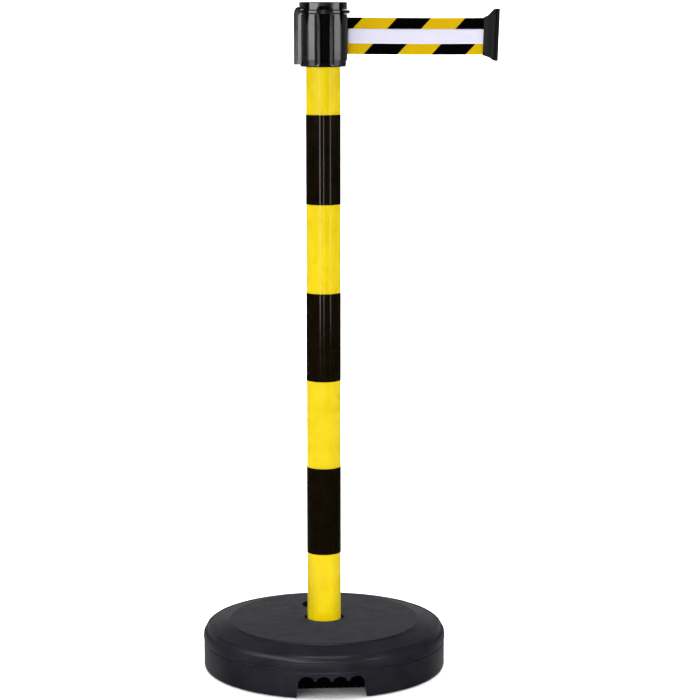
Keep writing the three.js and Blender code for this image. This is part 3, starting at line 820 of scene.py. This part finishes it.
# ---------------------------------------------------------------- stage
def sweep_paper():
    """Pale studio paper, very slightly uneven."""
    p = Paint("sweep_paper")
    soft = p.ranged(p.noise(3, 2), 0.4, 0.6, 0, 0.02)
    p.set(Base_Color=p.mix(soft, (0.93, 0.93, 0.93, 1), (0.9, 0.9, 0.9, 1)), Roughness=0.85)
    return p.material


def sweep():
    """A pale seamless floor that curves up into a wall behind the object."""
    bm = bmesh.new()
    front, back, radius, height, half = -2.4, 3.6, 1.6, 5.2, 6.0
    outline = [(front, 0.0), (back, 0.0)]
    for step in range(1, 17):
        angle = math.pi / 2 * step / 16
        outline.append((back + radius * math.sin(angle), radius * (1 - math.cos(angle))))
    outline.append((back + radius, height))
    rows = [[bm.verts.new((x, y, z)) for y, z in outline] for x in (-half, half)]
    for i in range(len(outline) - 1):
        bm.faces.new((rows[0][i], rows[1][i], rows[1][i + 1], rows[0][i + 1]))
    obj = made("studio_sweep", bm, sweep_paper())
    obj.visible_glossy = False
    return obj


def backdrop():
    """A pale tent round everything: seen past the sweep's edges, and lights nothing."""
    bm = bmesh.new()
    bmesh.ops.create_uvsphere(bm, u_segments=48, v_segments=24, radius=TENT_R)
    material = bpy.data.materials.new("tent")
    material.use_nodes = True
    shader = material.node_tree.nodes["Principled BSDF"]
    shader.inputs["Base Color"].default_value = (0, 0, 0, 1)
    shader.inputs["Emission Color"].default_value = (1, 1, 1, 1)
    shader.inputs["Emission Strength"].default_value = 0.97
    obj = made("studio_tent", bm, material)
    obj.visible_glossy = False
    obj.visible_diffuse = False
    obj.visible_transmission = False
    obj.visible_shadow = False


def area_light(name, place, aim, size, power):
    """A rectangular light at a place, turned to face another."""
    data = bpy.data.lights.new(name, "AREA")
    data.shape = "RECTANGLE"
    data.size, data.size_y = size
    data.energy = power
    obj = bpy.data.objects.new(name, data)
    obj.location = place
    obj.rotation_euler = (Vector(aim) - Vector(place)).to_track_quat("-Z", "Y").to_euler()
    bpy.context.scene.collection.objects.link(obj)
    return obj


def softboxes():
    """Upright lights round the front: two large keys high up, three strips lower down."""
    box_light("key_left", -52, 2.5, (0.74, 1.60), 2.3, 25)
    key_right = box_light("key_right", 66, 2.5, (0.74, 1.60), 1.8, 14)
    only_on(key_right, [obj for name, obj in NODES.items() if name != "base_shell"])
    box_light("strip_left", -26, 3.3, (0.05, 0.78), 0.36, 17)
    box_light("strip_camera", -1.5, 3.5, (0.02, 0.74), 0.22, 10)
    box_light("strip_right", 43.5, 3.3, (0.05, 0.78), 0.42, 10)


def small_lights():
    """One light for the top of the base alone, and one for the foot of the tube alone."""
    over_base = area_light("over_base", (-0.1, -1.35, 2.3), (0, -0.1, 0.05), (1.5, 0.4), 15)
    only_on(over_base, [NODES["base_shell"]])
    foot_fill = area_light("foot_fill", (-0.12, -2.4, 0.5), (0, 0, -0.02), (0.3, 0.02), 0.27)
    foot_fill.data.spread = math.radians(12)
    only_on(foot_fill, [NODES["post_tube"]])


def overhead_lights(floor):
    """A soft light above everything, and three that whiten only the floor and wall."""
    floor_fill = area_light("floor_fill", (0, 0.8, 3.4), (0, 0.8, 0), (12.0, 9.0), 420)
    # Nothing but the floor itself can shade it from its fill.
    blockers = bpy.data.collections.new("floor_fill_blockers")
    blockers.objects.link(floor)
    floor_fill.light_linking.blocker_collection = blockers
    top = area_light("top", (0.1, 0.45, 3.0), (0.1, 0.45, 0), (2.4, 2.0), 88)
    wall = area_light("wall", (0, 2.4, 4.2), (0, 5.4, 1.2), (5.0, 1.0), 260)
    floor_back = area_light("floor_back", (0, 2.2, 3.6), (0, 2.0, 0), (6.0, 2.4), 110)
    for light in (floor_fill, wall, floor_back):
        only_on(light, [floor])
    for light in (top, wall, floor_back):
        light.visible_glossy = False


def studio():
    """The floor and wall, the tent beyond them, the lights and the room's own dim light."""
    floor = sweep()
    backdrop()
    softboxes()
    small_lights()
    overhead_lights(floor)
    world = bpy.data.worlds.new("studio_world")
    world.use_nodes = True
    shade_world(world.node_tree)
    bpy.context.scene.world = world


def shade_world(tree):
    """A dim room, brighter low down behind the object and on the floor beyond it."""
    room = Nodes(tree, "Generated")
    way = room.parts()
    above = room.ranged(way["Z"], -0.14, 0.0, 0.02, 0.09, smooth=True)
    behind = room.ranged(way["Y"], 0.35, 0.9, 0.0, 0.42, smooth=True)
    rising = room.ranged(way["Z"], -0.05, 0.10, 0.0, 1.0, smooth=True)
    fading = room.ranged(way["Z"], 0.16, 0.34, 1.0, 0.0, smooth=True)
    glow = room.math("MULTIPLY", room.math("MULTIPLY", behind, rising), fading)
    below = room.ranged(way["Z"], -0.20, -0.26, 0.0, 1.0, smooth=True)
    beyond = room.ranged(way["Y"], 0.2, 0.8, 0.0, 0.35, smooth=True)
    floor = room.math("MULTIPLY", below, beyond)
    total = room.math("ADD", room.math("ADD", above, glow), floor)
    background = tree.nodes["Background"]
    background.inputs["Color"].default_value = (1, 1, 1, 1)
    room.link(total, background.inputs["Strength"])


def only_on(light, objects):
    """Keeps a light off everything but the given objects."""
    lit = bpy.data.collections.new(light.name + "_lights")
    for obj in objects:
        lit.objects.link(obj)
    light.light_linking.receiver_collection = lit


def box_light(name, turn, away, heights, width, power):
    """An upright softbox, turned that many degrees from the grip's side toward the belt."""
    angle = math.radians(turn)
    low, high = heights
    middle = (low + high) / 2
    place = (away * math.sin(angle), -away * math.cos(angle), middle)
    return area_light(name, place, (0, 0, middle), (width, high - low), power)


def camera():
    """The camera, level with the head and looking down a little."""
    data = bpy.data.cameras.new("camera")
    data.sensor_width = 36
    data.lens = CAMERA_LENS
    obj = bpy.data.objects.new("camera", data)
    obj.location = CAMERA_AT
    obj.rotation_euler = (math.pi / 2 - CAMERA_DOWN, 0, CAMERA_TURN)
    bpy.context.scene.collection.objects.link(obj)
    bpy.context.scene.camera = obj


studio()
camera()
bpy.context.scene.view_settings.view_transform = "Standard"
bpy.context.scene.view_settings.look = "None"
